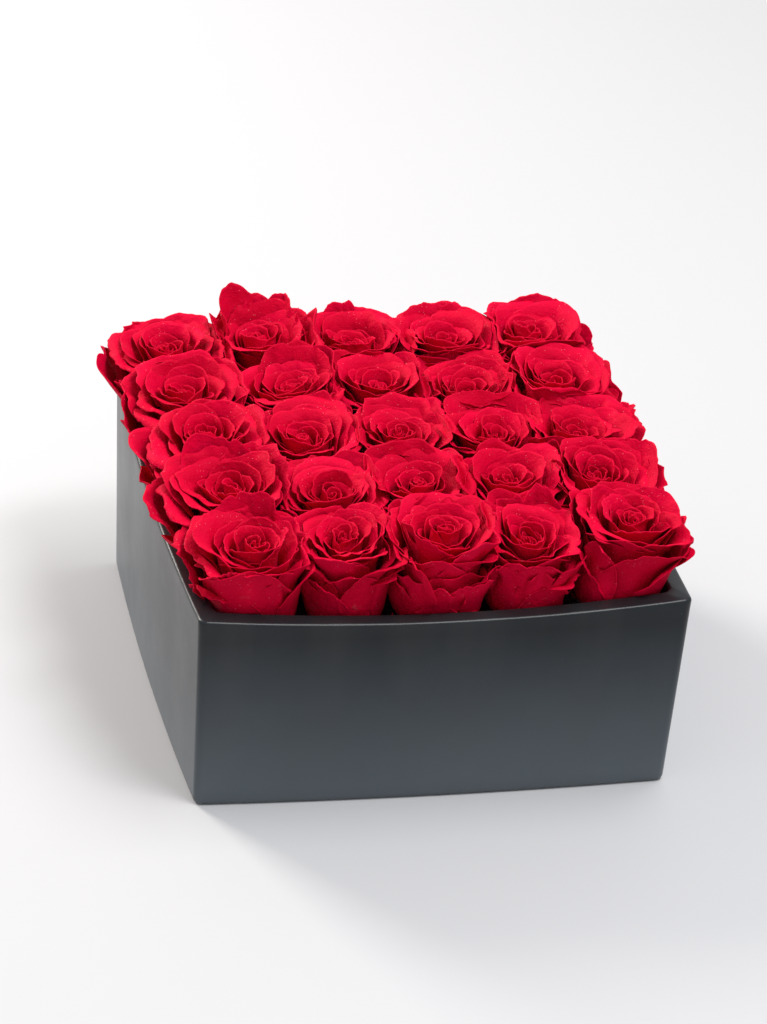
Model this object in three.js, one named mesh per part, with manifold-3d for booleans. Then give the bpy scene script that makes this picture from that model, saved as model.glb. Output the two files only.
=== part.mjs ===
// A square glazed-ceramic flower box with twenty-five preserved roses standing in dry floral foam.
//
// Millimetres, +Z up. The origin is the middle of the surface that the box stands on, and the front faces -Y.
// Row 1 is the front row and column 1 the left one. Each rose is a bloom on a short stem. The stem is pushed
// into a socket in the foam, so a rose pulls straight up. The foam is two bricks with a cut strip between
// them, and it lifts out of the box with the roses in it.

import * as THREE from "three";
import { mergeVertices } from "three/addons/utils/BufferGeometryUtils.js";
import Module from "manifold-3d";

// ---- Driving dimensions ----

const BOX = {
  footHalf: 135.7, // half the width at the ground, at a corner
  rimHalf: 140, // half the width at the rim, at a corner
  height: 122, // at a corner
  wall: 11,
  floor: 9, // top of the inside floor
  cornerRadius: 5, // of the upright outside corners
  insideCornerRadius: 5,
  footRadius: 3.5, // of the edge all round the foot
  footRing: 13, // width of the ring that the box stands on
  footRecess: 1.5,
  rimRadius: 2.2, // of the rim's two edges
  insideFillet: 1.5, // between the inside walls and the floor
  footBow: 3.4, // each side bulges by this much at the middle of its foot
  rimBow: 2, // and by this much at the middle of its rim
  rimDip: 5.6, // the rim is this much lower there than at the corners
  sideSteps: 8,
  cornerSteps: 5,
};

const GRID = {
  count: 5,
  pitch: 51.5,
  leanDegrees: 2.5, // a bloom leans out by this for each step from the middle
  rowLeanDegrees: 1, // and the blooms lean to the left by this for each row behind the front one
};

const BLOOM = {
  baseHeight: [100, 102, 105, 107, 108], // of its lowest point, row by row from the front
  // [radius, height above the lowest point, depth of the notches between the outer petals]
  outline: [
    [8, 0, 0], [16.5, 4, 0.4], [21.2, 11, 0.8], [23, 20, 1], [26, 34, 1.4], [26, 45, 1.6],
    [24, 55, 1.6], [19.5, 65, 1], [12.5, 57, 0], [6, 60, 0],
  ],
  tip: 59, // height of the bud in the middle
  outerPetals: 5,
  segments: 15,
};

const STEM = {
  radius: 3,
  tipHeight: 40, // of its cut end, above the ground
  hipRadius: 6.2, // the hip is the swelling that the petals grow from
  hipHeight: 8,
  clearance: 0.4, // under the bloom
  segments: 8,
};

const FOAM = {
  brick: [110, 230, 80],
  stripWidth: 25,
  gap: 0.5, // between two pieces
  underGap: 0.4,
  socketRadius: 3.6,
  socketSegments: 10,
  socketBelowTip: 1,
};

const FINISHES = {
  glaze: new THREE.MeshStandardMaterial({ color: 0x2b2f34, roughness: 0.42, metalness: 0 }),
  petal: new THREE.MeshStandardMaterial({ color: 0xc40a24, roughness: 0.75, metalness: 0 }),
  stem: new THREE.MeshStandardMaterial({ color: 0x55602c, roughness: 0.8, metalness: 0 }),
  foam: new THREE.MeshStandardMaterial({ color: 0x7d7a6d, roughness: 0.95, metalness: 0 }),
};

// ---- Solids, for the sockets ----

const wasm = await Module();
wasm.setup();

function toSolid(geometry) {
  const bare = geometry.clone();
  bare.deleteAttribute("normal");
  bare.deleteAttribute("uv");
  const merged = mergeVertices(bare);
  return new wasm.Manifold(
    new wasm.Mesh({
      numProp: 3,
      vertProperties: merged.attributes.position.array,
      triVerts: new Uint32Array(merged.index.array),
    }),
  );
}

function toGeometry(solid) {
  const { vertProperties, triVerts } = solid.getMesh();
  const geometry = new THREE.BufferGeometry();
  geometry.setAttribute("position", new THREE.BufferAttribute(vertProperties, 3));
  geometry.setIndex(new THREE.BufferAttribute(triVerts, 1));
  geometry.computeVertexNormals();
  return geometry;
}

// ---- Ceramic box ----

// The box's plan, anticlockwise from the left end of the front side. Each step of it lies either part of the
// way along a side, from -1 to 1, or on a corner's arc, so a ring of any size can be made from the steps.
function planSteps() {
  const steps = [];
  const corners = [[1, -1], [1, 1], [-1, 1], [-1, -1]];
  corners.forEach(([cornerX, cornerY], side) => {
    const turn = (side * Math.PI) / 2; // from the front side to this one
    for (let k = 0; k < BOX.sideSteps; k++) {
      steps.push({ turn, along: -1 + (2 * (k + 0.5)) / BOX.sideSteps });
    }
    for (let k = 0; k <= BOX.cornerSteps; k++) {
      steps.push({ cornerX, cornerY, angle: turn + (k / BOX.cornerSteps - 1) * (Math.PI / 2) });
    }
  });
  return steps;
}

// A ring is half as wide as `half` at its corners, which have the given radius. Its sides bulge.
function ringPoint(step, half, radius, height) {
  const straight = half - radius;
  if (step.angle !== undefined) {
    return [
      step.cornerX * straight + radius * Math.cos(step.angle),
      step.cornerY * straight + radius * Math.sin(step.angle),
      height,
    ];
  }
  const share = height / BOX.height;
  const bulge = 1 - step.along ** 2;
  const bow = THREE.MathUtils.lerp(BOX.footBow, BOX.rimBow, share) * (half / BOX.rimHalf);
  const across = step.along * straight;
  const out = half + bow * bulge;
  const dip = BOX.rimDip * bulge * Math.max(0, 2 * share - 1);
  const cos = Math.cos(step.turn);
  const sin = Math.sin(step.turn);
  return [across * cos + out * sin, across * sin - out * cos, height - dip];
}

// Half the width of the box's outside at a height.
const outsideHalf = (height) => THREE.MathUtils.lerp(BOX.footHalf, BOX.rimHalf, height / BOX.height);

// [half width, height, corner radius] from the middle of the underside out, up, over the rim and down inside.
function boxProfile() {
  const { wall, floor, height, cornerRadius, insideCornerRadius, footRadius, rimRadius, insideFillet } = BOX;
  const foot = outsideHalf(footRadius);
  const recess = foot - footRadius - BOX.footRing;
  const profile = [
    [0, BOX.footRecess, 0],
    [recess - BOX.footRecess, BOX.footRecess, 3],
    [recess, 0, 3],
    [foot - footRadius, 0, cornerRadius - footRadius],
  ];
  for (const degrees of [30, 60, 90]) {
    const angle = THREE.MathUtils.degToRad(degrees);
    const inset = footRadius * (1 - Math.sin(angle));
    profile.push([foot - inset, footRadius * (1 - Math.cos(angle)), cornerRadius - inset]);
  }
  const wallShares = [0.35, 0.65, 0.85];
  for (const share of wallShares) {
    profile.push([outsideHalf(share * height), share * height, cornerRadius]);
  }
  const rim = BOX.rimHalf;
  const inside = rim - wall;
  profile.push(
    [rim, height - rimRadius, cornerRadius],
    [rim - 0.3 * rimRadius, height - 0.3 * rimRadius, cornerRadius],
    [rim - rimRadius, height, cornerRadius - rimRadius],
    [inside + rimRadius, height, insideCornerRadius + rimRadius],
    [inside + 0.3 * rimRadius, height - 0.3 * rimRadius, insideCornerRadius],
    [inside, height - rimRadius, insideCornerRadius],
  );
  for (const share of wallShares.toReversed()) {
    profile.push([outsideHalf(share * height) - wall, share * height, insideCornerRadius]);
  }
  const insideAtFloor = outsideHalf(floor) - wall;
  profile.push(
    [insideAtFloor, floor + insideFillet, insideCornerRadius],
    [insideAtFloor - insideFillet, floor, insideCornerRadius - insideFillet],
    [0, floor, 0],
  );
  return profile;
}

// A turned shape whose rings are then moved from circles on to the box's plan.
function ceramicBox() {
  const profile = boxProfile();
  const steps = planSteps();
  const circles = profile.map(([half, height]) => new THREE.Vector2(half, height));
  const box = new THREE.LatheGeometry(circles, steps.length);
  for (let i = 0; i <= steps.length; i++) {
    const step = steps[i % steps.length];
    profile.forEach(([half, height, radius], j) => {
      const place = half > 0 ? ringPoint(step, half, radius, height) : [0, 0, height];
      box.attributes.position.setXYZ(i * profile.length + j, ...place);
    });
  }
  box.computeVertexNormals();
  return box;
}

// ---- Roses ----

const gridPlace = (index) => (index - (GRID.count - 1) / 2) * GRID.pitch;
const lean = (index) => THREE.MathUtils.degToRad((index - (GRID.count - 1) / 2) * GRID.leanDegrees);
const rowLean = (row) => THREE.MathUtils.degToRad(row * GRID.rowLeanDegrees);

function turned(points, segments) {
  const profile = points.map(([radius, height]) => new THREE.Vector2(radius, height));
  return new THREE.LatheGeometry(profile, segments).rotateX(Math.PI / 2);
}

// The bloom as a cup of five broad outer petals, with the bud in the middle. Its lowest point is the origin.
function bloom() {
  const rings = [[0, 0, 0], ...BLOOM.outline, [0, BLOOM.tip, 0]];
  const geometry = turned(rings, BLOOM.segments);
  const perPetal = BLOOM.segments / BLOOM.outerPetals;
  for (let i = 0; i <= BLOOM.segments; i += perPetal) {
    rings.forEach(([radius, , notch], j) => {
      const index = i * rings.length + j;
      const keep = radius > 0 ? 1 - notch / radius : 1;
      const { position } = geometry.attributes;
      position.setXY(index, position.getX(index) * keep, position.getY(index) * keep);
    });
  }
  geometry.computeVertexNormals();
  return geometry;
}

// The stem and the hip on its top, which ends just under the bloom. Height 0 is the bloom's lowest point.
function stem(baseHeight) {
  const tip = STEM.tipHeight - baseHeight;
  const points = [
    [0, tip],
    [STEM.radius - 0.4, tip],
    [STEM.radius, tip + 4],
    [STEM.radius, -STEM.hipHeight - 2],
    [STEM.hipRadius - 1, -STEM.hipHeight + 1.5],
    [STEM.hipRadius, -STEM.hipHeight / 2],
    [STEM.hipRadius - 1.4, -2],
    [0, -STEM.clearance],
  ];
  return turned(points, STEM.segments);
}

// ---- Floral foam ----

// [name, middle of its width, width]: the strip fills the space between the two whole bricks.
function foamPieces() {
  const [brickWidth] = FOAM.brick;
  const side = (FOAM.stripWidth + brickWidth) / 2 + FOAM.gap;
  return [
    ["foam_brick_left", -side, brickWidth],
    ["foam_strip_middle", 0, FOAM.stripWidth],
    ["foam_brick_right", side, brickWidth],
  ];
}

const foamBottom = BOX.floor + FOAM.underGap;

// A foam piece with a socket for each of the stems that stand in it.
function foam(middle, width) {
  const [, depth, height] = FOAM.brick;
  const block = new THREE.BoxGeometry(width, depth, height).translate(middle, 0, foamBottom + height / 2);
  let solid = toSolid(block);
  for (let column = 0; column < GRID.count; column++) {
    if (Math.abs(gridPlace(column) - middle) < width / 2) {
      for (let row = 0; row < GRID.count; row++) {
        solid = solid.subtract(socket(gridPlace(column), gridPlace(row)));
      }
    }
  }
  return toGeometry(solid);
}

// The space that a stem stands in, from just under its tip to above the foam.
function socket(x, y) {
  const bottom = STEM.tipHeight - FOAM.socketBelowTip;
  const height = foamBottom + FOAM.brick[2] + 5 - bottom;
  const { socketRadius, socketSegments } = FOAM;
  const hole = new THREE.CylinderGeometry(socketRadius, socketRadius, height, socketSegments);
  return toSolid(hole.rotateX(Math.PI / 2).translate(x, y, bottom + height / 2));
}

// ---- Assembly ----

function named(name, geometry, finish) {
  const mesh = new THREE.Mesh(geometry, finish);
  mesh.name = name;
  return mesh;
}

function rose(row, column) {
  const baseHeight = BLOOM.baseHeight[row];
  const label = `r${row + 1}c${column + 1}`;
  const head = named(`rose_bloom_${label}`, bloom(), FINISHES.petal);
  head.rotation.set(-lean(row), lean(column) - rowLean(row), 0);
  const group = new THREE.Group();
  group.position.set(gridPlace(column), gridPlace(row), baseHeight);
  group.add(head, named(`rose_stem_${label}`, stem(baseHeight), FINISHES.stem));
  return group;
}

const flowerBox = new THREE.Group();
flowerBox.add(named("ceramic_box", ceramicBox(), FINISHES.glaze));

for (const [name, middle, width] of foamPieces()) {
  flowerBox.add(named(name, foam(middle, width), FINISHES.foam));
}

for (let row = 0; row < GRID.count; row++) {
  for (let column = 0; column < GRID.count; column++) {
    flowerBox.add(rose(row, column));
  }
}

export default flowerBox;
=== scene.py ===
"""The looks of the square ceramic flower box: glaze, foam, stems and twenty-five preserved roses.

Metres, in the CAD frame: +Z up, the front faces -Y, and the origin is on the surface that the box stands on,
below its middle. A rose is worked out in millimetres about its own base, then leaned and placed where the CAD
has it.
"""

import math

import bpy
import numpy as np
from mathutils import Euler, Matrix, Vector


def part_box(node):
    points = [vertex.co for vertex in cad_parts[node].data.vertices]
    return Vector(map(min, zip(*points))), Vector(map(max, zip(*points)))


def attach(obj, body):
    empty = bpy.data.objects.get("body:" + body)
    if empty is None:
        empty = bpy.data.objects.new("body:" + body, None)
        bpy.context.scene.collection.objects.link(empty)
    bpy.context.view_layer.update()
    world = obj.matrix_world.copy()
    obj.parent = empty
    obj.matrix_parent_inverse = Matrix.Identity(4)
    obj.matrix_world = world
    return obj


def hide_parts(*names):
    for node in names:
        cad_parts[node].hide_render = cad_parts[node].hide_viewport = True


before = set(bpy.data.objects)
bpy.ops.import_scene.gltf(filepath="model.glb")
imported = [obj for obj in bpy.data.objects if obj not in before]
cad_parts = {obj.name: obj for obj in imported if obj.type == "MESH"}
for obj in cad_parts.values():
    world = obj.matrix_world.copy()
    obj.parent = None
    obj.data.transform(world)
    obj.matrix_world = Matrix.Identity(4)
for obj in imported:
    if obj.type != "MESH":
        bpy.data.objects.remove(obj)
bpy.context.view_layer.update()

MM = 0.001
ROWS = range(1, 6)
COLUMNS = range(1, 6)
GOLDEN_ANGLE = math.pi * (3 - math.sqrt(5))

# The box's own dimensions, in millimetres, as in the CAD.
BOX = {
    "foot_half": 135.7, "rim_half": 140.0, "height": 122.0, "wall": 11.0, "floor": 9.0,
    "corner": 5.0, "inside_corner": 5.0, "foot_radius": 3.5, "foot_ring": 13.0, "recess": 1.5,
    "rim_radius": 2.2, "fillet": 1.5, "foot_bow": 3.4, "rim_bow": 2.0, "rim_dip": 5.6,
}

# The roses' common dimensions, in millimetres.
BLOOM_HEIGHT = 62.0
BELLY = 25.2  # the radius of a bloom's body
PETALS = 34  # in a bloom's spiral
PETAL_THICKNESS = 0.38
CELL_HALF = (28.0, 36.0)  # how far a petal reaches towards a neighbour, from the least to the most
WALL_CLEARANCE = 23.8  # how far petals reach towards the wall of the box
OVERHANG = {"left": 21.0, "right": 11.0, "front": 7.0, "back": 12.0}  # how much further, above the rim
LEAN = 2.5  # in degrees, outwards, for each step from the middle, as in the CAD
ROW_LEAN = 1.0  # in degrees, to the left, for each row behind the front one, as in the CAD

# Each rose, row by row from the front and from left to right: its size, its openness, how far its heart is
# off the middle, and its loose petals. A loose petal is (bearing, half width, lean, curl, length): the
# bearing is from +X, lean and curl are from upright at its foot and its tip, and angles are in degrees.
ROSES = {
    1: [
        (1.05, 1.10, (3, -3), [(160, 38, 16, 80, 58), (75, 62, 2, 45, 70), (215, 42, 7, 50, 42)]),
        (0.86, 0.90, (0, 5), [(232, 34, 6, 40, 42), (320, 45, 5, 70, 52)]),
        (1.12, 1.00, (0, -3), [(240, 52, 6, 45, 46), (300, 46, 8, 40, 42), (268, 62, 20, 120, 24)]),
        (0.86, 0.90, (-6, -3), [(75, 64, 2, 45, 66), (280, 50, 8, 40, 44)]),
        (1.07, 1.10, (3, 3), [(15, 45, 14, 80, 62), (150, 50, 4, 60, 64)]),
    ],
    2: [
        (1.02, 1.00, (3, 5), [(175, 45, 22, 75, 62), (222, 50, 32, 42, 42)]),
        (1.00, 1.00, (4, -6), []),
        (0.94, 0.95, (0, 1), []),
        (1.02, 1.05, (-2, 0), [(85, 60, 0, 45, 66)]),
        (1.03, 1.05, (-6, 4), [(0, 50, 12, 75, 60)]),
    ],
    3: [
        (1.06, 1.15, (-4, 7), [(170, 42, 20, 70, 62), (212, 58, 32, 40, 48)]),
        (1.02, 1.05, (-2, 0), [(60, 60, 0, 40, 67)]),
        (1.00, 1.00, (1, 0), []),
        (0.95, 0.95, (4, 2), []),
        (1.00, 1.05, (-5, -7), [(10, 48, 12, 70, 62), (95, 50, 0, 50, 66)]),
    ],
    4: [
        (1.04, 1.10, (-7, 5), [(165, 40, 24, 80, 66), (212, 60, 32, 40, 50)]),
        (0.98, 1.00, (6, 5), []),
        (0.98, 1.00, (3, 3), []),
        (0.94, 0.95, (0, -4), []),
        (1.02, 1.00, (-4, -6), [(5, 48, 12, 75, 60)]),
    ],
    5: [
        (1.06, 1.15, (-7, -4), [(180, 42, 24, 78, 68), (215, 40, 26, 70, 56), (130, 50, 10, 60, 66)]),
        (1.08, 0.90, (-6, 7), [(112, 78, -2, 24, 79), (62, 62, 0, 34, 75), (165, 50, 2, 48, 72)]),
        (0.98, 0.95, (-6, 4), [(90, 62, 0, 30, 69)]),
        (1.00, 1.00, (-2, -3), [(95, 60, 2, 40, 68)]),
        (1.04, 1.00, (-6, -4), [(75, 58, 2, 45, 70), (0, 48, 12, 70, 60)]),
    ],
}


# ---- Small helpers ----

def smooth(low, high, x):
    """0 below low, 1 above high and a smooth step between them."""
    s = np.clip((x - low) / (high - low), 0.0, 1.0)
    return s * s * (3 - 2 * s)


class Ripple:
    """Smooth noise, mostly within -1 and 1: a sum of sine waves in seeded directions."""

    def __init__(self, rng, dims, waves=6):
        self.direction = rng.normal(size=(waves, dims))
        self.phase = rng.uniform(0, 2 * math.pi, waves)

    def __call__(self, *coords):
        point = np.stack(np.broadcast_arrays(*coords), -1)
        return np.sin(point @ self.direction.T + self.phase).mean(-1) * 1.8


def mesh_object(name, points, faces, material):
    """A smooth-shaded object from an array of points in millimetres."""
    mesh = bpy.data.meshes.new(name)
    mesh.from_pydata((np.asarray(points) * MM).tolist(), [], faces)
    mesh.shade_smooth()
    mesh.materials.append(material)
    thing = bpy.data.objects.new(name, mesh)
    bpy.context.scene.collection.objects.link(thing)
    return thing


def add_channels(mesh, name, kind, values):
    """Numbers for each point, which the material reads back by name."""
    layer = mesh.attributes.new(name, kind, "POINT")
    field = "color" if kind == "FLOAT_COLOR" else "vector"
    layer.data.foreach_set(field, np.asarray(values, np.float32).ravel())


def grid_faces(index, closed=False):
    """Quads between neighbouring points of a grid of indices, and from its last column to its first."""
    if closed:
        index = np.column_stack([index, index[:, 0]])
    return np.stack([index[:-1, :-1], index[:-1, 1:], index[1:, 1:], index[1:, :-1]], -1).reshape(-1, 4)


# ---- Camera ----

def add_camera():
    """The photograph's angle: the box turned a little to its left, seen from above with a long lens."""
    target = Vector((0.0130, 0.0786, 0.0600))
    azimuth, elevation, roll = (math.radians(a) for a in (-14.02, 29.45, 4.56))
    back = Vector((
        math.sin(azimuth) * math.cos(elevation),
        -math.cos(azimuth) * math.cos(elevation),
        math.sin(elevation),
    ))
    camera = bpy.data.cameras.new("camera")
    camera.sensor_fit = "VERTICAL"
    camera.sensor_height = 36.0
    camera.lens = 192.6
    camera.clip_end = 50.0
    holder = bpy.data.objects.new("camera", camera)
    holder.location = target + back * 3.2386
    level = back.to_track_quat("Z", "Y").to_matrix()
    spin = Euler((0, 0, roll)).to_matrix()
    holder.rotation_euler = (level @ spin).to_euler()
    bpy.context.scene.collection.objects.link(holder)
    bpy.context.scene.camera = holder


# ---- Materials ----

def new_material(name, **values):
    """A material, its tree and its shader, with numbers and colours set on the shader's own sockets."""
    material = bpy.data.materials.new(name)
    material.use_nodes = True
    shader = material.node_tree.nodes["Principled BSDF"]
    for socket, value in values.items():
        shader.inputs[socket.replace("_", " ")].default_value = value
    return material, material.node_tree, shader


def add_node(tree, kind, inputs=None, **settings):
    """A new node with its settings. Its inputs go by name or by number, and are either linked or set."""
    made = tree.nodes.new(kind)
    for key, value in settings.items():
        setattr(made, key, value)
    for key, value in (inputs or {}).items():
        if isinstance(value, bpy.types.NodeSocket):
            tree.links.new(value, made.inputs[key])
        else:
            made.inputs[key].default_value = value
    return made


def maths(tree, operation, a, b=0.0, c=0.0):
    return add_node(tree, "ShaderNodeMath", {0: a, 1: b, 2: c}, operation=operation).outputs[0]


def blend_colour(tree, share, a, b):
    return add_node(tree, "ShaderNodeMix", {0: share, 6: a, 7: b}, data_type="RGBA").outputs[2]


def stepped(tree, value, low, high):
    """0 below low, 1 above high."""
    return add_node(tree, "ShaderNodeMapRange", {0: value, 1: low, 2: high}, clamp=True).outputs[0]


def noise(tree, place, scale, detail=2.0, roughness=0.5):
    inputs = {"Vector": place, "Scale": scale, "Detail": detail, "Roughness": roughness}
    return add_node(tree, "ShaderNodeTexNoise", inputs).outputs["Fac"]


def stretched(tree, place, scale):
    """The same place measured on axes of other scales, which draws a pattern out."""
    return add_node(tree, "ShaderNodeMapping", {"Vector": place, "Scale": scale}).outputs[0]


def specks(tree, place, scale, near, far):
    """Small round dots, 1 in the middle and 0 outside: one in every cell of a Voronoi pattern."""
    cells = add_node(tree, "ShaderNodeTexVoronoi", {"Vector": place, "Scale": scale})
    return maths(tree, "SUBTRACT", 1.0, stepped(tree, cells.outputs["Distance"], near, far))


def add_bump(tree, shader, height, distance, strength=1.0):
    inputs = {"Height": height, "Distance": distance, "Strength": strength}
    bump = add_node(tree, "ShaderNodeBump", inputs)
    tree.links.new(bump.outputs[0], shader.inputs["Normal"])


def petal_material():
    """Preserved petals: a deep matt velvet with a painted highlight, a paler red, along its torn edges,
    bruised low down.
    """
    material, tree, shader = new_material(
        "petals", Roughness=0.62, Specular_IOR_Level=0.04, Sheen_Weight=0.04, Sheen_Roughness=0.4,
        Sheen_Tint=(1.0, 0.08, 0.16, 1),
    )
    place = add_node(tree, "ShaderNodeTexCoord").outputs["Object"]
    petal = add_node(tree, "ShaderNodeAttribute", attribute_name="petal")
    parts = add_node(tree, "ShaderNodeSeparateColor", {0: petal.outputs["Color"]})
    edge, along, tone = parts.outputs
    layer = petal.outputs["Alpha"]

    mottle = noise(tree, place, 90.0, 4.0)
    depth = maths(tree, "MULTIPLY_ADD", mottle, 0.5, maths(tree, "MULTIPLY", tone, 0.5))
    colour = blend_colour(tree, depth, (0.47, 0.0, 0.018, 1), (0.61, 0.0, 0.033, 1))
    # Painted highlight: a paler red along stretches of the petals' edges, where they would catch the light.
    painted_edge_highlight = maths(tree, "MULTIPLY", edge, stepped(tree, noise(tree, place, 160.0), 0.45, 1.1))
    colour = blend_colour(tree, painted_edge_highlight, colour, (0.68, 0.012, 0.046, 1))

    # Bruised pink patches low on the outermost petals.
    patch = stepped(tree, noise(tree, place, 55.0, 5.0, 0.65), 0.62, 0.74)
    low = maths(tree, "SUBTRACT", 1.0, stepped(tree, along, 0.45, 0.8))
    outer = stepped(tree, layer, 0.86, 0.93)
    bruise = maths(tree, "MULTIPLY", maths(tree, "MULTIPLY", patch, low), outer)
    colour = blend_colour(tree, maths(tree, "MULTIPLY", bruise, 0.4), colour, (0.55, 0.10, 0.12, 1))

    # Specks of pale dust.
    some = stepped(tree, noise(tree, place, 120.0, 1.0), 0.47, 0.58)
    dust = maths(tree, "MULTIPLY", specks(tree, place, 480.0, 0.04, 0.14), some)
    dust = maths(tree, "MULTIPLY", dust, 0.5)
    colour = blend_colour(tree, dust, colour, (0.85, 0.38, 0.42, 1))
    tree.links.new(colour, shader.inputs["Base Color"])

    # Veins along the petal, a nap, and creases that deepen towards the outermost petals.
    streak = add_node(tree, "ShaderNodeAttribute", attribute_name="grain")
    veins = noise(tree, streak.outputs["Vector"], 1.0, 3.0, 0.6)
    nap = noise(tree, place, 1100.0, 2.0)
    wrinkles = maths(tree, "MULTIPLY", noise(tree, place, 170.0, 3.0, 0.6), 1.7)
    creases = add_node(tree, "ShaderNodeTexNoise", {"Vector": place, "Scale": 75.0, "Detail": 2.0},
                       noise_type="RIDGED_MULTIFRACTAL").outputs["Fac"]
    crumpled = maths(tree, "MULTIPLY", creases, maths(tree, "MULTIPLY", layer, 0.8))
    fine = maths(tree, "MULTIPLY_ADD", nap, 0.35, maths(tree, "MULTIPLY_ADD", veins, 0.35, wrinkles))
    height = maths(tree, "ADD", fine, crumpled)
    add_bump(tree, shader, height, 0.0012, 0.6)
    return material


def glaze_material():
    """A satin slate-black glaze, a little cloudy, with a painted reflection of the bright floor that lightens
    it towards the foot, over uneven clay.
    """
    material, tree, shader = new_material("glaze", Specular_IOR_Level=0.24)
    place = add_node(tree, "ShaderNodeTexCoord").outputs["Object"]
    height = add_node(tree, "ShaderNodeSeparateXYZ", {0: place}).outputs["Z"]
    # A painted reflection of the bright floor lightens the glaze from near black at the rim to grey-blue at
    # the foot. The cloudy patches on top of it are the glaze's own.
    cloud = maths(tree, "MULTIPLY", noise(tree, place, 14.0, 4.0), 0.2)
    painted_floor_reflection = maths(tree, "SUBTRACT", 1.0, stepped(tree, height, 0.01, 0.108))
    share = maths(tree, "ADD", cloud, maths(tree, "MULTIPLY", painted_floor_reflection, 0.9))
    colour = blend_colour(tree, share, (0.003, 0.004, 0.005, 1), (0.078, 0.094, 0.108, 1))

    # Faint runs down the sides, and specks of dust.
    drawn_out = stretched(tree, place, (1.0, 1.0, 0.12))
    runs = stepped(tree, noise(tree, drawn_out, 30.0, 2.0), 0.45, 0.75)
    colour = blend_colour(tree, maths(tree, "MULTIPLY", runs, 0.18), colour, (0.075, 0.068, 0.064, 1))
    some = stepped(tree, noise(tree, place, 40.0, 1.0), 0.56, 0.58)
    dust = maths(tree, "MULTIPLY", specks(tree, place, 150.0, 0.025, 0.06), some)
    dust = maths(tree, "MULTIPLY", dust, 0.5)
    colour = blend_colour(tree, dust, colour, (0.10, 0.11, 0.12, 1))
    tree.links.new(colour, shader.inputs["Base Color"])

    # Uneven shine, long waves down the sides, lumps and pores.
    rough = add_node(tree, "ShaderNodeMapRange", {0: noise(tree, place, 32.0, 3.0), 3: 0.26, 4: 0.36})
    tree.links.new(rough.outputs[0], shader.inputs["Roughness"])
    waves = maths(tree, "MULTIPLY", noise(tree, drawn_out, 17.0, 1.0), 9.0)
    pores, lumps = noise(tree, place, 260.0, 2.0), noise(tree, place, 30.0, 2.0)
    skin = maths(tree, "MULTIPLY_ADD", pores, 0.3, lumps)
    add_bump(tree, shader, maths(tree, "ADD", skin, waves), 0.0006, 0.35)
    return material


def stem_material():
    """Preserved stems and sepals: dull olive with brown at the joints and along the fibres."""
    material, tree, shader = new_material("stems", Roughness=0.72, Specular_IOR_Level=0.3)
    place = add_node(tree, "ShaderNodeTexCoord").outputs["Object"]
    fibre = noise(tree, stretched(tree, place, (1.0, 1.0, 0.12)), 900.0, 4.0, 0.6)
    patch = noise(tree, place, 70.0, 3.0)
    colour = blend_colour(tree, fibre, (0.055, 0.085, 0.018, 1), (0.16, 0.19, 0.055, 1))
    colour = blend_colour(tree, stepped(tree, patch, 0.5, 0.72), colour, (0.14, 0.085, 0.035, 1))
    tree.links.new(colour, shader.inputs["Base Color"])
    add_bump(tree, shader, fibre, 0.0005, 0.6)
    return material


def foam_material():
    """Dry floral foam: a dusty brown-grey with fine open cells and a few crushed dents."""
    material, tree, shader = new_material("foam", Roughness=0.95, Specular_IOR_Level=0.1)
    place = add_node(tree, "ShaderNodeTexCoord").outputs["Object"]
    cells = add_node(tree, "ShaderNodeTexVoronoi", {"Vector": place, "Scale": 900.0}).outputs["Distance"]
    dents = noise(tree, place, 60.0, 5.0, 0.6)
    colour = blend_colour(tree, cells, (0.12, 0.105, 0.075, 1), (0.27, 0.245, 0.19, 1))
    colour = blend_colour(tree, stepped(tree, dents, 0.25, 0.55), (0.15, 0.132, 0.095, 1), colour)
    tree.links.new(colour, shader.inputs["Base Color"])
    height = maths(tree, "MULTIPLY_ADD", cells, 0.4, dents)
    add_bump(tree, shader, height, 0.001, 0.8)
    return material


# ---- Ceramic box ----

def plan_ring(half, corner, height, side_steps=44, corner_steps=9):
    """One ring of the box's surface. Its sides bulge a little, and dip in the box's upper half."""
    along = np.linspace(-1, 1, side_steps)
    bulge = 1 - along ** 2
    share = height / BOX["height"]
    bow = (BOX["foot_bow"] + (BOX["rim_bow"] - BOX["foot_bow"]) * share) * half / BOX["rim_half"]
    straight = half - corner
    front = np.stack([along * straight, -(half + bow * bulge)], -1)
    turn = np.linspace(-math.pi / 2, 0, corner_steps + 2)[1:-1]
    arc = np.stack([straight + corner * np.cos(turn), -straight + corner * np.sin(turn)], -1)
    quarter = np.concatenate([front, arc])
    dip = BOX["rim_dip"] * bulge * max(0.0, 2 * share - 1)
    z = np.concatenate([height - dip, np.full(corner_steps, height)])
    sides = []
    for quarter_turns in range(4):
        angle = quarter_turns * math.pi / 2
        spin = np.array([[math.cos(angle), math.sin(angle)], [-math.sin(angle), math.cos(angle)]])
        sides.append(np.column_stack([quarter @ spin, z]))
    return np.concatenate(sides)


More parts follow.
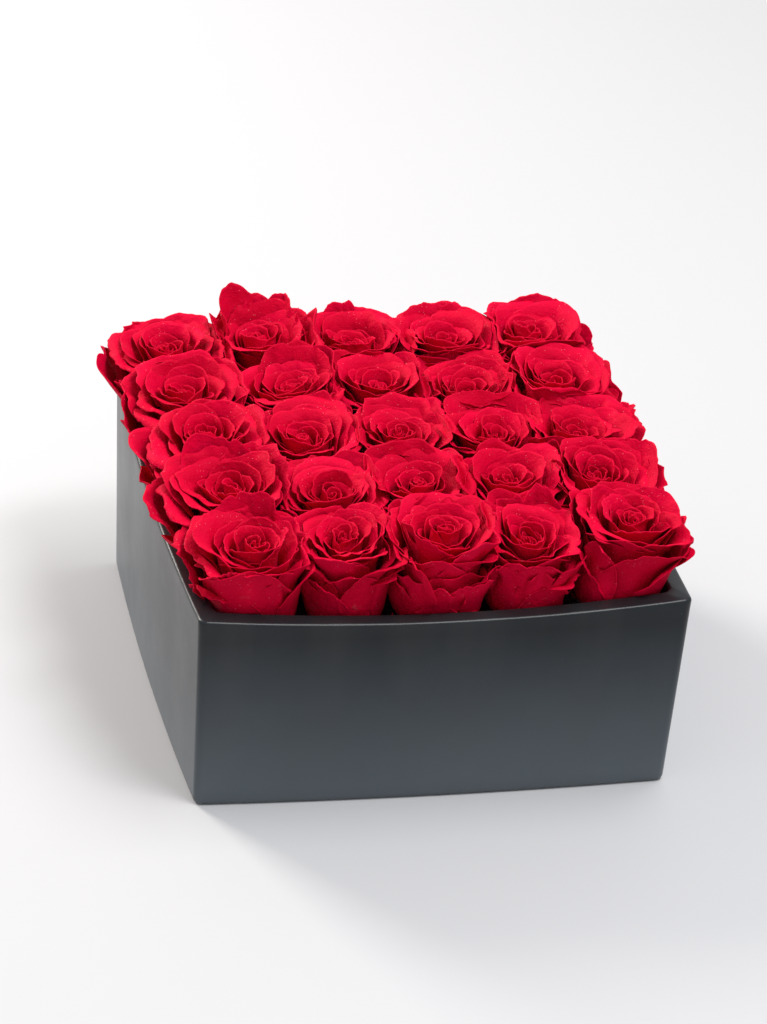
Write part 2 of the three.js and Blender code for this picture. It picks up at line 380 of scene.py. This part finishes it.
def box_outline():
    """(half width, corner radius, height) from the underside out, up, over the rim, down to the floor."""
    def outside(height):
        return BOX["foot_half"] + (BOX["rim_half"] - BOX["foot_half"]) * height / BOX["height"]

    corner, inner, wall = BOX["corner"], BOX["inside_corner"], BOX["wall"]
    foot, rim, top, edge = BOX["foot_radius"], BOX["rim_half"], BOX["height"], BOX["rim_radius"]
    base = outside(foot)
    ring = base - foot - BOX["foot_ring"]
    rings = [(0.5 * ring, 1.5, BOX["recess"]), (ring - BOX["recess"], 3, BOX["recess"]), (ring, 3, 0)]
    for turn in np.linspace(0, math.pi / 2, 7):
        inset = foot * (1 - math.sin(turn))
        rings.append((base - inset, corner - inset, foot * (1 - math.cos(turn))))
    heights = np.linspace(0.08, 0.94, 14) * top
    rings += [(outside(z), corner, z) for z in heights]
    for turn in np.linspace(0, math.pi / 2, 7):
        inset = edge * (1 - math.cos(turn))
        rings.append((rim - inset, corner - inset, top - edge * (1 - math.sin(turn))))
    for turn in np.linspace(math.pi / 2, 0, 7):
        inset = edge * (1 - math.cos(turn))
        rings.append((rim - wall + inset, inner + inset, top - edge * (1 - math.sin(turn))))
    floor, fillet = BOX["floor"], BOX["fillet"]
    rings += [(outside(z) - wall, inner, z) for z in heights[::-1] if z > floor + 2 * fillet]
    for turn in np.linspace(0, math.pi / 2, 5):
        inset = fillet * (1 - math.cos(turn))
        height = floor + fillet * (1 - math.sin(turn))
        rings.append((outside(floor) - wall - inset, inner - inset, height))
    rings.append((60, 1, floor))
    return rings


def ceramic_box(material):
    """The slip-cast box. Its walls wander by a fraction of a millimetre, as cast and fired clay does."""
    rings = np.array([plan_ring(*ring) for ring in box_outline()])
    count, around, _ = rings.shape
    points = rings.reshape(-1, 3)
    rng = np.random.default_rng(7)
    wander = Ripple(rng, 3, 9)
    offset = 0.28 * wander(points[:, 0] / 26, points[:, 1] / 26, points[:, 2] / 110)
    outward = points[:, :2] / np.maximum(np.abs(points[:, :2]).max(-1, keepdims=True), 1)
    points[:, :2] += outward * (offset * smooth(6, 30, points[:, 2]))[:, None]
    index = np.arange(count * around).reshape(count, around)
    faces = grid_faces(index, closed=True).tolist() + [index[0][::-1].tolist(), index[-1].tolist()]
    return mesh_object("flower_box_ceramic", points, faces, material)


# ---- Petals ----

def petal_midline(petal, rose, count=48):
    """Distance from the axis and height along a petal's middle, evenly spaced from its foot to its tip.

    A quarter ellipse makes the cup's floor. Then the wall follows a direction that goes from the petal's
    start to its end, which are angles from upright, and rolls over at the lip.
    """
    t = petal["layer"]
    foot_r, foot_z = 1.2 + 5.5 * t, 2.0 * (1 - t)
    waist_r = 1.8 + (rose["belly"] - 1.8) * t ** rose["packing"]
    waist_z = foot_z + rose["height"] * (0.30 - 0.13 * t)
    turn = np.linspace(0, math.pi / 2, count)
    along = np.linspace(0, 1, count)
    direction = petal["start"] + (petal["end"] - petal["start"]) * smooth(0.35, 1.05, along) ** 1.2
    direction += petal["lip"] * smooth(0.84, 1.0, along)
    step = (petal["reach"] - waist_z) / (count - 1)
    floor_r = foot_r + (waist_r - foot_r) * np.sin(turn)
    floor_z = foot_z + (waist_z - foot_z) * (1 - np.cos(turn))
    r = np.concatenate([floor_r, waist_r + np.cumsum(np.sin(direction[1:])) * step])
    z = np.concatenate([floor_z, waist_z + np.cumsum(np.cos(direction[1:])) * step])
    arc = np.concatenate([[0], np.cumsum(np.hypot(np.diff(r), np.diff(z)))])
    even = np.linspace(0, arc[-1], count)
    return np.interp(even, arc, r), np.interp(even, arc, z)


def torn_edge(rng, w, t):
    """The share of its length that a petal's top falls short: waves, worn stretches and a few notches.

    `w` is the angle round the bloom, in radians from the middle of the petal, and `t` is the petal's layer.
    """
    wave, tear, worn = Ripple(rng, 1), Ripple(rng, 1), Ripple(rng, 1)
    torn = smooth(-0.1, 0.9, worn(w * 4)) * (np.abs(tear(w * 17)) + 0.6 * np.abs(tear(w * 90)))
    short = (0.006 + 0.034 * t ** 2) * wave(w * 3) + (0.002 + 0.04 * t ** 2) * torn
    for _ in range(rng.integers(0, 3 + round(2 * t))):
        place = rng.uniform(-1, 1) * w[-1]
        depth = rng.uniform(0.01, 0.06) * (0.1 + 0.9 * t ** 2)
        width = rng.uniform(0.04, 0.16)
        short = short + depth * np.maximum(1 - np.abs(w - place) / width, 0)
    return short


def relief(rng, petal, rose, W, V):
    """How far ruffles, folds and crinkles near its edge move a petal out and up, and how its edge rolls over.

    W is the angle from the middle of the petal, and V runs from its foot, 0, to its edge, 1. Also gives the
    uneven swelling of the whole petal.
    """
    t = petal["layer"]
    ruffle, crease, crinkle, uneven = (Ripple(rng, 2) for _ in range(4))
    near_edge = smooth(0.45, 1.0, V)
    wavy = (0.15 + 2.85 * t ** 2.6) * near_edge ** 2 * ruffle(W * 4, V * 1.5)
    depth = 8.0 * rose["wear"] * t ** 2.5
    folded = depth * near_edge ** 2 * (np.abs(crease(W * 3.6, V * 1.5)) - 0.4)
    fine = (0.12 + 1.2 * t ** 2) * near_edge ** 3 * np.abs(crinkle(W * 10, V * 5))
    hem = (0.3 + 1.3 * t) * smooth(0.88, 1.0, V) ** 2 * (0.2 + 1.2 * np.abs(crinkle(W * 5, V)))
    # The shoulders roll back further than the middle, which leaves the tip pointed.
    roll = petal["roll"] * smooth(0.2, 1.0, np.abs(W) / petal["width"]) * smooth(0.45, 1.0, V)
    out = wavy + folded + fine - 0.35 * roll + hem
    up = 0.5 * fine - 0.3 * wavy + 0.25 * folded - roll - 1.1 * hem
    return out, up, 0.8 * uneven(W * 1.6, V * 1.8)


def tatters(rng, petal, rose, W, V):
    """How far a petal's edge sticks out in teeth and in a few broad points."""
    teeth, points, worn = Ripple(rng, 1), Ripple(rng, 1), Ripple(rng, 1)
    torn = smooth(0.82, 1.0, V) * smooth(-0.3, 0.9, worn(W * 3))
    torn = torn * (1.9 - 3.6 * np.abs(teeth(W * 13)) ** 0.6)
    pointed = smooth(0.6, 1.0, V) * (2.8 - 5.6 * np.abs(points(W * 4)) ** 0.8)
    return rose["wear"] * petal["layer"] ** 2.4 * (torn + pointed)


def petal_surface(rng, petal, rose):
    """One petal's middle surface, as points across by along, with its colour channels and its grain.

    Also gives how far its tattered edge still has to move outwards once the petal has been pressed into
    its cell.
    """
    t = petal["layer"]
    # The points are closest together along the edges, where the petal is torn and rolls over.
    u = np.concatenate([[-1, -0.985], np.linspace(-0.955, 0.955, 13 + round(34 * t)), [0.985, 1]])
    v = np.concatenate([np.linspace(0, 0.84, 7 + round(7 * t)), [0.88, 0.92, 0.955, 0.98, 1]])
    U, V = np.meshgrid(u, v, indexing="ij")
    W = U * petal["width"]
    top = 1 - petal["shoulder"] * np.abs(u) ** petal["point"] - torn_edge(rng, u * petal["width"], t)
    along = V * top[:, None]

    mid_r, mid_z = petal_midline(petal, rose)
    place = np.linspace(0, 1, len(mid_r))
    out, up, swelling = relief(rng, petal, rose, W, V)
    r = np.interp(along, place, mid_r) + out + swelling * smooth(0.2, 0.8, along)
    z = np.interp(along, place, mid_z) + up
    # One side tucks under the next petal, and one side stands higher than the other.
    r += (0.5 + 1.8 * (1 - t)) * U * rose["hand"] * (0.3 + 0.7 * along)
    z += petal["slant"] * U * along

    phi = petal["angle"] + W * (0.42 + 0.58 * smooth(0.0, 0.62, along))
    surface = np.stack([r * np.cos(phi), r * np.sin(phi), z], -1)
    # The first channel marks the petal's edges, where the material paints a highlight.
    edge = np.maximum(smooth(0.975, 1.0, V), smooth(0.975, 1.0, np.abs(U)) * smooth(0.3, 0.6, V))
    channels = np.stack([edge, along, np.full_like(U, petal["tone"]), np.full_like(U, t)], -1)
    grain = np.stack([U * 14 + 50 * petal["tone"], along * 3, np.full_like(U, 9 * t)], -1)
    return surface, channels, grain, tatters(rng, petal, rose, W, V)


def shell(surface, thickness):
    """A thin closed skin round an open surface: its points and its faces."""
    n_across, n_along, _ = surface.shape
    normal = np.cross(np.gradient(surface, axis=1), np.gradient(surface, axis=0))
    normal /= np.maximum(np.linalg.norm(normal, axis=-1, keepdims=True), 1e-9)
    half = normal * thickness / 2
    points = np.concatenate([(surface + half).reshape(-1, 3), (surface - half).reshape(-1, 3)])
    index = np.arange(n_across * n_along).reshape(n_across, n_along)
    under = index + n_across * n_along

    border = np.concatenate([index[:, 0], index[-1, 1:], index[-2::-1, -1], index[0, -2:0:-1]])
    rim = grid_faces(np.stack([border, border + n_across * n_along]), closed=True)
    return points, np.concatenate([grid_faces(index), grid_faces(under)[:, ::-1], rim])


# ---- Blooms ----

def spiral_petal(rng, rose, i):
    """The measures of a bloom's petal number i, each a golden angle on from the one before.

    `layer` runs from 0 at the heart to 1 outside. `start` and `end` are angles from upright, `width` is half
    the angle that the petal wraps, and `shoulder` and `point` shape its outline.
    """
    t = i / (PETALS - 1)
    hollow = rose["hollow"] * (1 - smooth(0.0, 0.6, t))
    petal = {
        "layer": t,
        "angle": rose["spin"] + i * GOLDEN_ANGLE * rose["hand"] + rng.uniform(-0.3, 0.3),
        "reach": rose["height"] * (1 - hollow) + 10 * t ** 3,
        "start": -0.12 + 0.24 * t + rng.uniform(-0.06, 0.06) * t,
        "end": -0.45 + (0.5 + 1.7 * rose["open"]) * t ** 1.3 + rng.uniform(-0.45, 0.45) * t,
        "width": math.radians(rose["wrap"]) * (1.5 - 0.75 * t) * rng.uniform(0.82, 1.12),
        "shoulder": rng.uniform(0.08, 0.2) + 0.28 * t ** 2,
        "point": rng.uniform(3.4 - 2.1 * t, 3.6 - 0.9 * t),
        "lip": (0.25 + 0.75 * t) * rng.uniform(-0.2, 1.2),
        "slant": rng.uniform(-3.0, 3.0) * t,
        "roll": rng.uniform(0.0, 10.0) * t ** 2,
        "tone": rng.random(),
    }
    # The outer petals end at many heights and fall towards the front, and a few guard petals end lower.
    facing = -math.sin(petal["angle"])
    petal["reach"] *= rng.uniform(0.97 - 0.13 * t, 1.03) - 0.06 * t * facing
    petal["slant"] += 7.0 * t ** 3 * math.cos(petal["angle"])
    if t > 0.84 and rng.random() < 0.35:
        petal["reach"] *= rng.uniform(0.66, 0.85)
        petal["end"] = rng.uniform(0.3, 1.1)
    return petal


def loose_petal(rng, bearing, half_width, lean, curl, reach):
    """The measures of a petal that lies outside the spiral."""
    return {
        "layer": 1.0, "angle": math.radians(bearing), "reach": reach, "start": math.radians(lean),
        "end": math.radians(curl), "width": math.radians(half_width), "shoulder": 0.32,
        "point": rng.uniform(1.3, 2.6), "lip": rng.uniform(-0.2, 0.7),
        "slant": rng.uniform(-3.0, 3.0) + 8.0 * math.cos(math.radians(bearing)),
        "roll": rng.uniform(0.0, 2.5), "tone": rng.random(),
    }


def plan_petals(rng, rose):
    """The petals of a bloom: its spiral, a narrow one for each corner of its cell, and its loose ones."""
    petals = [spiral_petal(rng, rose, i) for i in range(PETALS)]
    corners = []
    for bearing in (45, 135, 225, 315):
        corners.append((
            bearing + rng.uniform(-14, 14), rng.uniform(22, 32), rng.uniform(4, 12),
            rng.uniform(40, 85), rng.uniform(50, 62),
        ))
    return petals + [loose_petal(rng, *shape) for shape in corners + rose["loose"]]


def press_into_cell(rng, points, free, rim):
    """Keeps a petal within a rounded square, which reaches into the neighbours' so that petals interleave.

    `free` gives, for -x, +x, -y and +y, how much further it may go above the box's rim where there is no
    neighbour, or None where there is one. What can't go outwards goes up a little instead.
    """
    over_rim = smooth(rim - 4, rim + 11, points[..., 2])
    limits = [
        rng.uniform(*CELL_HALF) if extra is None else WALL_CLEARANCE + extra * over_rim for extra in free
    ]
    x, y = points[..., 0], points[..., 1]
    r = np.maximum(np.hypot(x, y), 1e-6)
    across = np.abs(x) / r / np.where(x < 0, limits[0], limits[1])
    back = np.abs(y) / r / np.where(y < 0, limits[2], limits[3])
    lumps, slack = Ripple(rng, 2), 2.5 + rng.uniform(6, 12) * over_rim
    limit = (across ** 4 + back ** 4) ** (-1 / 4) * (1 + 0.07 * over_rim * lumps(4 * x / r, 4 * y / r))
    over = np.maximum(r - (limit - slack), 0)
    pushed = over - slack * (1 - np.exp(-over / slack))
    points[..., :2] *= (1 - pushed / r)[..., None]
    points[..., 2] += 0.2 * pushed
    return points


def settled(rng, surface, tatter, rose, drift, free, rim):
    """A petal's surface drawn towards the bloom's heart, made uneven, pressed into its cell and torn."""
    height = surface[..., 2:3] / rose["height"]
    central = np.exp(-(np.hypot(surface[..., 0], surface[..., 1]) / 17) ** 2)[..., None]
    wander = np.stack([d(*(np.moveaxis(surface, -1, 0) / 20)) for d in drift], -1)
    surface[..., :2] += (0.5 + 0.5 * central) * np.array(rose["heart"]) * height
    surface = surface + 1.2 * wander * smooth(4, 25, surface[..., 2:3])
    surface = press_into_cell(rng, surface, free, rim)
    from_axis = np.maximum(np.hypot(surface[..., 0], surface[..., 1]), 8)
    surface[..., :2] *= (1 + tatter / from_axis)[..., None]
    return surface


def rose_bloom(name, rose, place, lean, free, material):
    """All the petals of one bloom as one object, leaned and placed."""
    rng = np.random.default_rng(rose["seed"])
    drift = [Ripple(rng, 3) for _ in range(3)]
    turn = np.array(Euler((-lean[1], lean[0], 0)).to_matrix())
    parts = []
    total = 0
    for petal in plan_petals(rng, rose):
        surface, channels, grain, tatter = petal_surface(rng, petal, rose)
        surface = settled(rng, surface, tatter, rose, drift, free, BOX["height"] - place[2])
        points, faces = shell(surface @ turn.T, PETAL_THICKNESS)
        both_sides = [np.tile(values.reshape(-1, values.shape[-1]), (2, 1)) for values in (channels, grain)]
        parts.append((points, faces + total, *both_sides))
        total += len(points)
    points, faces, channels, grain = (np.concatenate(column) for column in zip(*parts))
    bloom = mesh_object(name, points + place, faces.tolist(), material)
    add_channels(bloom.data, "petal", "FLOAT_COLOR", channels)
    add_channels(bloom.data, "grain", "FLOAT_VECTOR", grain)
    return bloom


def rose_shape(row, column):
    """The measures of one rose in millimetres and radians: what ROSES says of it, and seeded chance."""
    size, openness, heart, loose = ROSES[row][column - 1]
    rng = np.random.default_rng(10 * row + column)
    return {
        "seed": 100 * row + column,
        "height": BLOOM_HEIGHT * (0.6 + 0.4 * size) + rng.uniform(-1.5, 1.5),
        "belly": BELLY * (0.5 + 0.5 * size),
        "packing": rng.uniform(0.92, 1.12),
        "wear": rng.uniform(0.7, 1.4),
        "hollow": rng.uniform(0.1, 0.2),
        "open": openness * rng.uniform(0.92, 1.08),
        "wrap": rng.uniform(78, 98),
        "spin": rng.uniform(0, 2 * math.pi),
        "hand": 1 if rng.random() < 0.5 else -1,
        "heart": heart,
        "loose": loose,
    }


def flowers():
    """Each rose's row, column and label, and the box round its stem in the CAD, in millimetres."""
    for row in ROWS:
        for column in COLUMNS:
            label = f"r{row}c{column}"
            yield row, column, label, np.array(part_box(f"rose_stem_{label}")) / MM


def foot_of_bloom(box):
    """The middle of the top of a box."""
    low, high = box
    return np.array([(low[0] + high[0]) / 2, (low[1] + high[1]) / 2, high[2]])


def add_roses(petals):
    for row, column, label, box in flowers():
        lean = np.radians([LEAN * (column - 3) - ROW_LEAN * (row - 1), LEAN * (row - 3)])
        free = [
            OVERHANG["left"] if column == 1 else None, OVERHANG["right"] if column == 5 else None,
            OVERHANG["front"] if row == 1 else None, OVERHANG["back"] if row == 5 else None,
        ]
        shape = rose_shape(row, column)
        bloom = rose_bloom(f"bloom_{label}", shape, foot_of_bloom(box), lean, free, petals)
        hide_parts(f"rose_bloom_{label}")
        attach(bloom, f"rose_{label}")


# ---- Stems ----

def stem_points(rng, length):
    """A stem from its cut end up to the hip that the petals grow from, as rings of points."""
    cut_end = [-length, -length, -length + 0.5]
    z = np.concatenate([cut_end, np.linspace(-length + 3, -12, 14), np.linspace(-10, -0.5, 12)])
    hip = 3.4 * np.exp(-((z + 4.2) / 3.4) ** 2)
    r = 2.75 + 0.12 * np.sin(z * 0.9) + hip
    # The flat cut, its bevelled edge, and the closed top.
    r[:3] = [0.01, 2.4, 2.7]
    r[-1] = 0.01
    turn = np.linspace(0, 2 * math.pi, 20, endpoint=False)
    knobs = Ripple(rng, 3)(2 * np.cos(turn)[None, :], 2 * np.sin(turn)[None, :], z[:, None] / 6)
    R = r[:, None] * (1 + 0.03 * knobs)
    return np.stack([R * np.cos(turn), R * np.sin(turn), np.broadcast_to(z[:, None], R.shape)], -1)


def sepal(rng, angle):
    """A narrow pointed leaf under the bloom that bends outwards and down."""
    u, v = np.meshgrid(np.linspace(-1, 1, 7), np.linspace(0, 1, 12), indexing="ij")
    width = 2.9 * np.sin(math.pi * np.clip(0.22 + 0.78 * v, 0, 1)) ** 0.8 * (1 - 0.55 * v)
    reach = 4.6 + rng.uniform(10, 13) * v
    z = -1.9 + 1.8 * np.sin(v * 2.4) - rng.uniform(4, 6) * v ** 2.2 - 0.9 * np.abs(u) * (1 - v)
    side = u * width
    x = reach * math.cos(angle) - side * math.sin(angle)
    y = reach * math.sin(angle) + side * math.cos(angle)
    return np.stack([x, y, z], -1)


def rose_stem(name, place, length, seed, material):
    """One stem with its hip and five sepals, as one object. `place` is the top of the hip."""
    rng = np.random.default_rng(seed)
    rings = stem_points(rng, length)
    count, around, _ = rings.shape
    total = count * around
    points = [rings.reshape(-1, 3)]
    faces = [grid_faces(np.arange(total).reshape(count, around), closed=True)]
    spin = rng.uniform(0, 2 * math.pi)
    for k in range(5):
        leaf, leaf_faces = shell(sepal(rng, spin + k * 2 * math.pi / 5), 0.5)
        points.append(leaf)
        faces.append(leaf_faces + total)
        total += len(leaf)
    return mesh_object(name, np.concatenate(points) + place, np.concatenate(faces).tolist(), material)


def add_stems(stems):
    for row, column, label, box in flowers():
        length = box[1][2] - box[0][2]
        stem = rose_stem(f"stem_{label}", foot_of_bloom(box), length, 10 * row + column, stems)
        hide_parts(f"rose_stem_{label}")
        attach(stem, f"rose_{label}")


# ---- Light and floor ----

def add_floor():
    bpy.ops.mesh.primitive_plane_add(size=30)
    floor = bpy.context.object
    floor.name = "floor"
    material, _, _ = new_material("floor", Base_Color=(0.49, 0.49, 0.50, 1), Roughness=0.6)
    floor.data.materials.append(material)


def add_light(name, place, aim, size, watts, colour=(1, 1, 1)):
    lamp = bpy.data.lights.new(name, "AREA")
    lamp.shape = "RECTANGLE"
    lamp.size, lamp.size_y = size
    lamp.energy = watts
    lamp.color = colour
    holder = bpy.data.objects.new(name, lamp)
    holder.location = place
    holder.rotation_euler = (Vector(place) - Vector(aim)).to_track_quat("Z", "Y").to_euler()
    bpy.context.scene.collection.objects.link(holder)


def add_lights():
    world = bpy.data.worlds.new("studio")
    world.use_nodes = True
    background = world.node_tree.nodes["Background"]
    background.inputs["Color"].default_value = (0.95, 0.97, 1.0, 1)
    background.inputs["Strength"].default_value = 0.72
    bpy.context.scene.world = world
    add_light("key", (0.5, -0.85, 2.2), (0.05, -0.2, 0.1), (0.7, 0.4), 22)
    add_light("top", (0.6, -0.15, 2.2), (0, -0.1, 0.1), (1.4, 0.9), 26)
    add_light("side", (-1.1, 1.5, 1.2), (-0.5, 0.4, 0.0), (0.6, 1.0), 46, (1.0, 0.93, 0.86))
    bpy.context.scene.view_settings.view_transform = "Standard"


# ---- The scene ----

add_camera()
petals, glaze, foam, stems = petal_material(), glaze_material(), foam_material(), stem_material()
# Of the CAD's own nodes only the foam stays on show. The others are replaced below.
for name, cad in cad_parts.items():
    cad.data.materials.clear()
    cad.data.materials.append(foam if name.startswith("foam") else glaze)
box = ceramic_box(glaze)
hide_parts("ceramic_box")
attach(box, "box")
add_stems(stems)
add_roses(petals)
add_floor()
add_lights()
